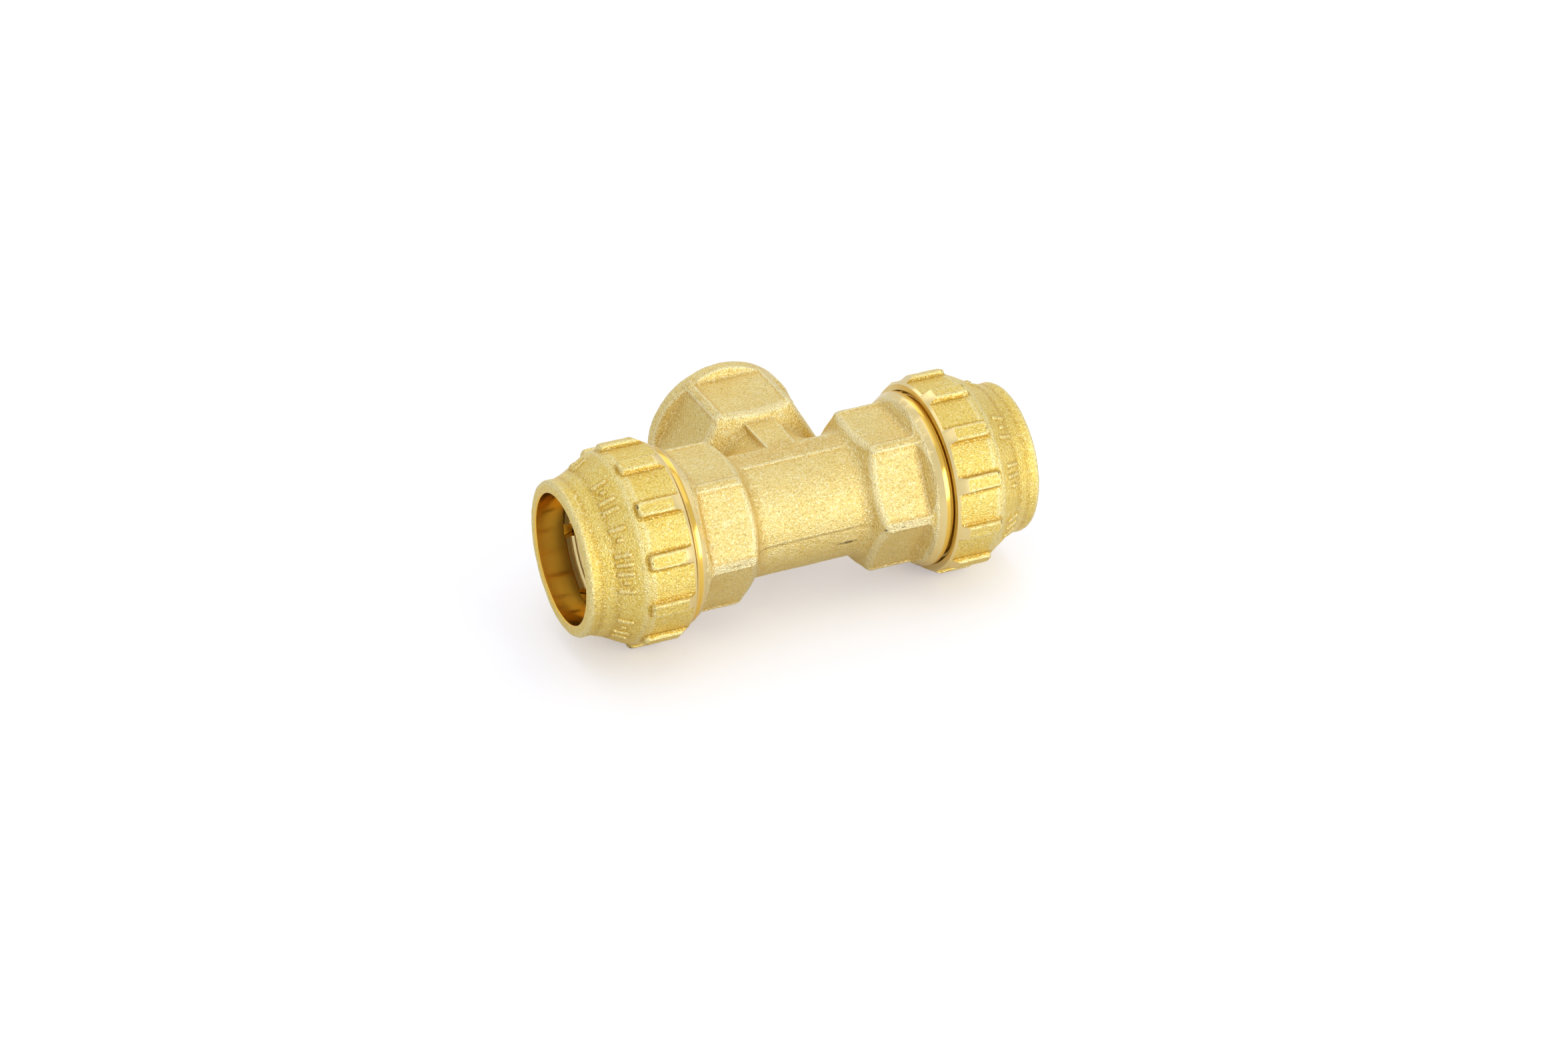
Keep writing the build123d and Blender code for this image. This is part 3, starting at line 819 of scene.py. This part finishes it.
nut["bore"] = boreRadius("right_nut_mouth")
ribPhase = {"left": 20.2, "right": 22.1}          # degrees from the front towards the top


def coneDistance(along, radius):
    run = nut["coneStart"] - nut["coneEnd"]
    drop = nut["radius"] - nut["mouthRadius"]
    return ((along - nut["coneEnd"]) * drop + (radius - nut["radius"]) * run) / math.hypot(run, drop)


def nutFieldFor(side, phase):
    def field(x, y, z):
        along, radius = side * x, np.hypot(y, z)
        shell = roundedMeet(radius - nut["radius"], coneDistance(along, radius), nut["shoulderRound"])
        shell = np.maximum(shell, along - nut["coneStart"] - nut["coneOverlap"])
        neck = nut["neckDepth"] * np.exp(-((along - nut["neckAt"]) / nut["neckWidth"]) ** 2)
        mouth = roundedMeet(radius - nut["mouthRadius"] + neck, along - nut["end"], nut["lipRound"])
        body = roundedUnion(shell, mouth, nut["neckHollow"])
        step = 2 * math.pi / nut["ribs"]
        angle = np.arctan2(z, -y) - math.radians(phase)
        angle = angle - step * np.round(angle / step)
        across, height = radius * np.sin(angle), radius * np.cos(angle)
        draft = math.radians(nut["ribDraft"])
        lean = (height - nut["radius"]) * math.tan(draft)
        flank = (np.abs(across) - nut["ribHalf"] + lean) * math.cos(draft)
        nose = along - nut["ribEnd"] + lean
        rib = roundedMeet(flank, nose, nut["ribCorner"])
        rib = roundedMeet(rib, height - nut["ribTop"], nut["ribEdge"])
        return np.maximum(roundedUnion(body, rib, nut["ribFoot"]), nut["face"] - nut["rearStock"] - along)
    return field


# generic raised ticks around the cone, as degrees from the front towards the top
longTicks = {
    "left": (78, 64, 57, 44, 27, 21, 15, 3, -22, -36, -43, 110, 117, 200, 214),
    "right": (60, 46, 27, 20, -12, -19, -26, 96, 160, 167, 257)}
shortTicks = {"left": (71, 37, 9, -29, 124, 207), "right": (53, 13, 103, 250)}
tickHalves = ((longTicks, 1.7), (shortTicks, 0.35))


def ticksOnCone(name, side, points, width):
    # cover of the raised ticks, 1 on a tick and 0 away from it
    along, radius = side * points[:, 0], np.hypot(points[:, 1], points[:, 2])
    front = np.degrees(np.arctan2(points[:, 2], -points[:, 1]))
    middle = 0.5 * (nut["coneEnd"] + nut["coneStart"]) + nut["tickShift"]
    stretch = 1.14              # length of the cone's slant for each mm of its axis
    onCone = plateau(np.abs(coneDistance(along, radius)) - nut["tickDepth"], 0.4)
    cover = np.zeros(len(points))
    for ticks, half in tickHalves:
        overrun = np.maximum(np.abs(along - middle) * stretch - half, 0)
        for degrees in ticks[name]:
            across = np.radians((front - degrees + 180) % 360 - 180) * radius
            tick = plateau(np.hypot(overrun, across) - width, nut["tickBlur"])
            cover = np.maximum(cover, tick * onCone)
    return cover


def nutReliefFor(name, side):
    def relief(points):
        relief = sum(height * ripple(points, length, seed + side) for height, length, seed in nut["waves"])
        return relief + nut["tickHeight"] * ticksOnCone(name, side, points, nut["tickWidth"])
    return relief


def buildNut(name, side):
    field = nutFieldFor(side, ribPhase[name])
    reachAcross = nut["ribTop"] + nut["gridMargin"]
    ends = sorted((side * (nut["face"] - nut["gridBehind"]), side * (nut["end"] + nut["gridBeyond"])))
    low, high = (ends[0], -reachAcross, -reachAcross), (ends[1], reachAcross, reachAcross)
    piece = forge(f"{name}_nut_forging", field, nutSkin, low, high, nut["voxel"], nutReliefFor(name, side))
    lip, steps = [], 6
    for k in range(steps + 1):
        turn = math.pi / 2 * k / steps
        lip.append((nut["end"] + nut["lipStock"] - nut["innerLipRound"] * (1 - math.cos(turn)),
                    nut["bore"] + nut["innerLipRound"] * (1 - math.sin(turn))))
    rise = math.tan(math.radians(nut["rearSlope"]))
    rearRadius = nut["radius"] - nut["rearDepth"]
    beyond, behind = nut["end"] + 1, nut["face"] - 2
    profile = [
        (beyond, 0), (beyond, nut["bore"] + nut["innerLipRound"] + nut["lipReach"]), *lip,
        (nut["boreEnd"], nut["bore"]), (nut["boreEnd"], nut["seatRadius"]), (nut["seatEnd"], nut["seatWide"]),
        (nut["seatEnd"], nut["relief"]), (nut["reliefStart"], nut["relief"]),
        (nut["reliefStart"], nut["threadRoot"]),
        (nut["face"] + nut["entryChamfer"], nut["threadRoot"]),
        (nut["face"], nut["threadRoot"] + nut["entryChamfer"]), (nut["face"], rearRadius),
        (nut["face"] + 3 / rise, rearRadius + 3), (behind, rearRadius + 3), (behind, 0)]
    carve(piece, lathe("turning", profile, alongRun(side)), "DIFFERENCE")

    def isBore(middle):
        radius = np.hypot(middle[:, 1], middle[:, 2])
        return (radius < nut["relief"] + 0.1) & (side * middle[:, 0] > nut["face"] + 0.9)

    dice = np.random.default_rng(40 + side)
    flecks = []
    for k in range(nut["ribs"]):
        turn = ribPhase[name] + 360 / nut["ribs"] * k + dice.uniform(-nut["fleckTurn"], nut["fleckTurn"])
        turn, radius = math.radians(turn), nut["fleckRadius"]
        along = side * (nut["ribEnd"] - dice.uniform(0.2, 1.0))
        spot = (along, -radius * math.cos(turn), radius * math.sin(turn))
        flecks.append((spot, (dice.uniform(0.15, 0.35), *dice.uniform(0.2, 0.6, 2))))

    def strokes(points):
        return (ticksOnCone(name, side, points, nut["tickWidth"]),
                ticksOnCone(name, side, points, nut["tickWidth"] + nut["tickFoot"]))

    paint(piece, field, isBore, flecks, strokes=strokes)
    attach(piece, f"{name}_union")
    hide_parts(f"{name}_nut")


for name, side in (("left", -1), ("right", 1)):
    buildNut(name, side)
print("nuts forged")

unionThread = {
    "pitch": 2.0, "start": 1.3, "spigotCrest": 21.95, "spigotEnd": 42.4, "nutCrest": 20.92, "nutEnd": 44.2,
    "rootWidth": 0.8, "crestWidth": 0.12, "sharpAngle": 30}
branchThread = {
    "pitch": 2.309, "crest": 15.15, "runout": 1.2, "endGap": 1.5, "rootWidth": 1.05, "crestWidth": 0.2}


def dressThread(piece, body, finish=threadFace):
    piece.data.materials.append(finish)
    piece.data.polygons.foreach_set("use_smooth", np.ones(len(piece.data.polygons), bool))
    piece.data.set_sharp_from_angle(angle=math.radians(unionThread["sharpAngle"]))
    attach(piece, body)


def buildUnionThreads(name, side):
    begin = tee["collarEnd"] + unionThread["start"]
    spigot = threadRidge(f"{name}_spigot_thread", alongRun(side), tee["spigotRadius"],
                         unionThread["spigotCrest"], begin, unionThread["spigotEnd"], unionThread)
    dressThread(spigot, "tee")
    inNut = threadRidge(f"{name}_nut_thread", alongRun(side), nut["threadRoot"], unionThread["nutCrest"],
                        begin + unionThread["pitch"] / 2, unionThread["nutEnd"], unionThread)
    dressThread(inNut, f"{name}_union")


def buildBranchThread():
    begin = tee["branchEnd"] - tee["threadDepth"] + branchThread["runout"]
    ridge = threadRidge("branch_female_thread", alongBranch, tee["branchBore"], branchThread["crest"],
                        begin, tee["branchEnd"] - branchThread["endGap"], branchThread)
    dressThread(ridge, "tee", branchThreadFace)


for name, side in (("left", -1), ("right", 1)):
    buildUnionThreads(name, side)
buildBranchThread()
print("threads cut")

# rings and seals keep their CAD shape
finishes = {
    "grip_ring": turnedFace, "pressure_ring": turnedFace, "seal": rubberFace, "support_ring": plasticFace}
for name in ("left", "right"):
    for node, finish in finishes.items():
        mesh = frame["nodes"][f"{name}_{node}"].data
        mesh.materials.clear()
        mesh.materials.append(finish)

studio = {
    "floorHalf": 3.0, "floorDrop": 0.0002, "floorTone": 0.86, "floorRoughness": 0.7, "floorLift": 0.29,
    "liftTint": (0.97, 0.99, 1.16), "worldTone": 1.0, "worldStrength": 0.733,
    "cameraPlace": (-301.62, -622.80, 416.43), "azimuth": -25.77, "elevation": 31.32, "roll": 0.85,
    "focalLength": 74.60, "sensorWidth": 36.0, "nearest": 0.01, "furthest": 20.0,
}

# name, azimuth, elevation, width, height, watts; each stands 1 m from the fitting
softboxes = [
    ("keyBox", 26, 13, 0.55, 0.6, 4.0), ("topBox", 0, 88, 0.8, 0.8, 0.8),
    ("backBox", 160, 45, 0.9, 0.5, 0.9), ("rightBox", 100, 25, 0.6, 0.6, 0.25),
]


def buildFloor():
    half, level = studio["floorHalf"], cadLow[2] - studio["floorDrop"]
    corners = [(-half, -half, level), (half, -half, level), (half, half, level), (-half, half, level)]
    mesh = bpy.data.meshes.new("floor")
    mesh.from_pydata(corners, [], [(0, 1, 2, 3)])
    floor = bpy.data.objects.new("floor", mesh)
    bpy.context.scene.collection.objects.link(floor)
    material, tree, shader = newMaterial("paleFloor")
    shader.inputs["Base Color"].default_value = (*[studio["floorTone"]] * 3, 1)
    shader.inputs["Roughness"].default_value = studio["floorRoughness"]
    shader.inputs["Emission Color"].default_value = (*studio["liftTint"], 1)
    rays = tree.nodes.new("ShaderNodeLightPath")
    # the floor reads as a white sweep without throwing more light on the brass
    lift = calc(tree, "MULTIPLY", rays.outputs["Is Camera Ray"], studio["floorLift"])
    tree.links.new(lift, shader.inputs["Emission Strength"])
    mesh.materials.append(material)


def outwards(azimuth, elevation):
    # unit vector from the fitting; azimuth in degrees from the front (-Y) towards +X
    turn, rise = math.radians(azimuth), math.radians(elevation)
    return Vector((math.sin(turn) * math.cos(rise), -math.cos(turn) * math.cos(rise), math.sin(rise)))


def addSoftbox(name, azimuth, elevation, width, height, power):
    light = bpy.data.lights.new(name, "AREA")
    light.shape = "RECTANGLE"
    light.size, light.size_y = width, height
    light.energy = power
    lamp = bpy.data.objects.new(name, light)
    bpy.context.scene.collection.objects.link(lamp)
    lamp.location = outwards(azimuth, elevation)
    lamp.rotation_mode = "QUATERNION"
    lamp.rotation_quaternion = outwards(azimuth, elevation).to_track_quat("Z", "Y")


def buildWorld():
    world = bpy.data.worlds.new("studioWhite")
    world.use_nodes = True
    sky = world.node_tree.nodes["Background"]
    sky.inputs["Color"].default_value = (*[studio["worldTone"]] * 3, 1)
    sky.inputs["Strength"].default_value = studio["worldStrength"]
    bpy.context.scene.world = world


def buildCamera():
    camera = bpy.data.cameras.new("camera")
    camera.lens = studio["focalLength"]
    camera.sensor_width = studio["sensorWidth"]
    camera.clip_start, camera.clip_end = studio["nearest"], studio["furthest"]
    viewer = bpy.data.objects.new("camera", camera)
    bpy.context.scene.collection.objects.link(viewer)
    back = outwards(studio["azimuth"], studio["elevation"])
    right = (-back).cross(Vector((0, 0, 1))).normalized()
    up = back.cross(right)
    turn = Matrix((right, up, back)).transposed()
    roll = Matrix.Rotation(math.radians(studio["roll"]), 3, "Z")
    viewer.matrix_world = Matrix.Translation(Vector(studio["cameraPlace"]) * mm) @ (turn @ roll).to_4x4()
    bpy.context.scene.camera = viewer


buildFloor()
buildWorld()
for softbox in softboxes:
    addSoftbox(*softbox)
buildCamera()
bpy.context.scene.view_settings.view_transform = "Standard"
print("studio set")
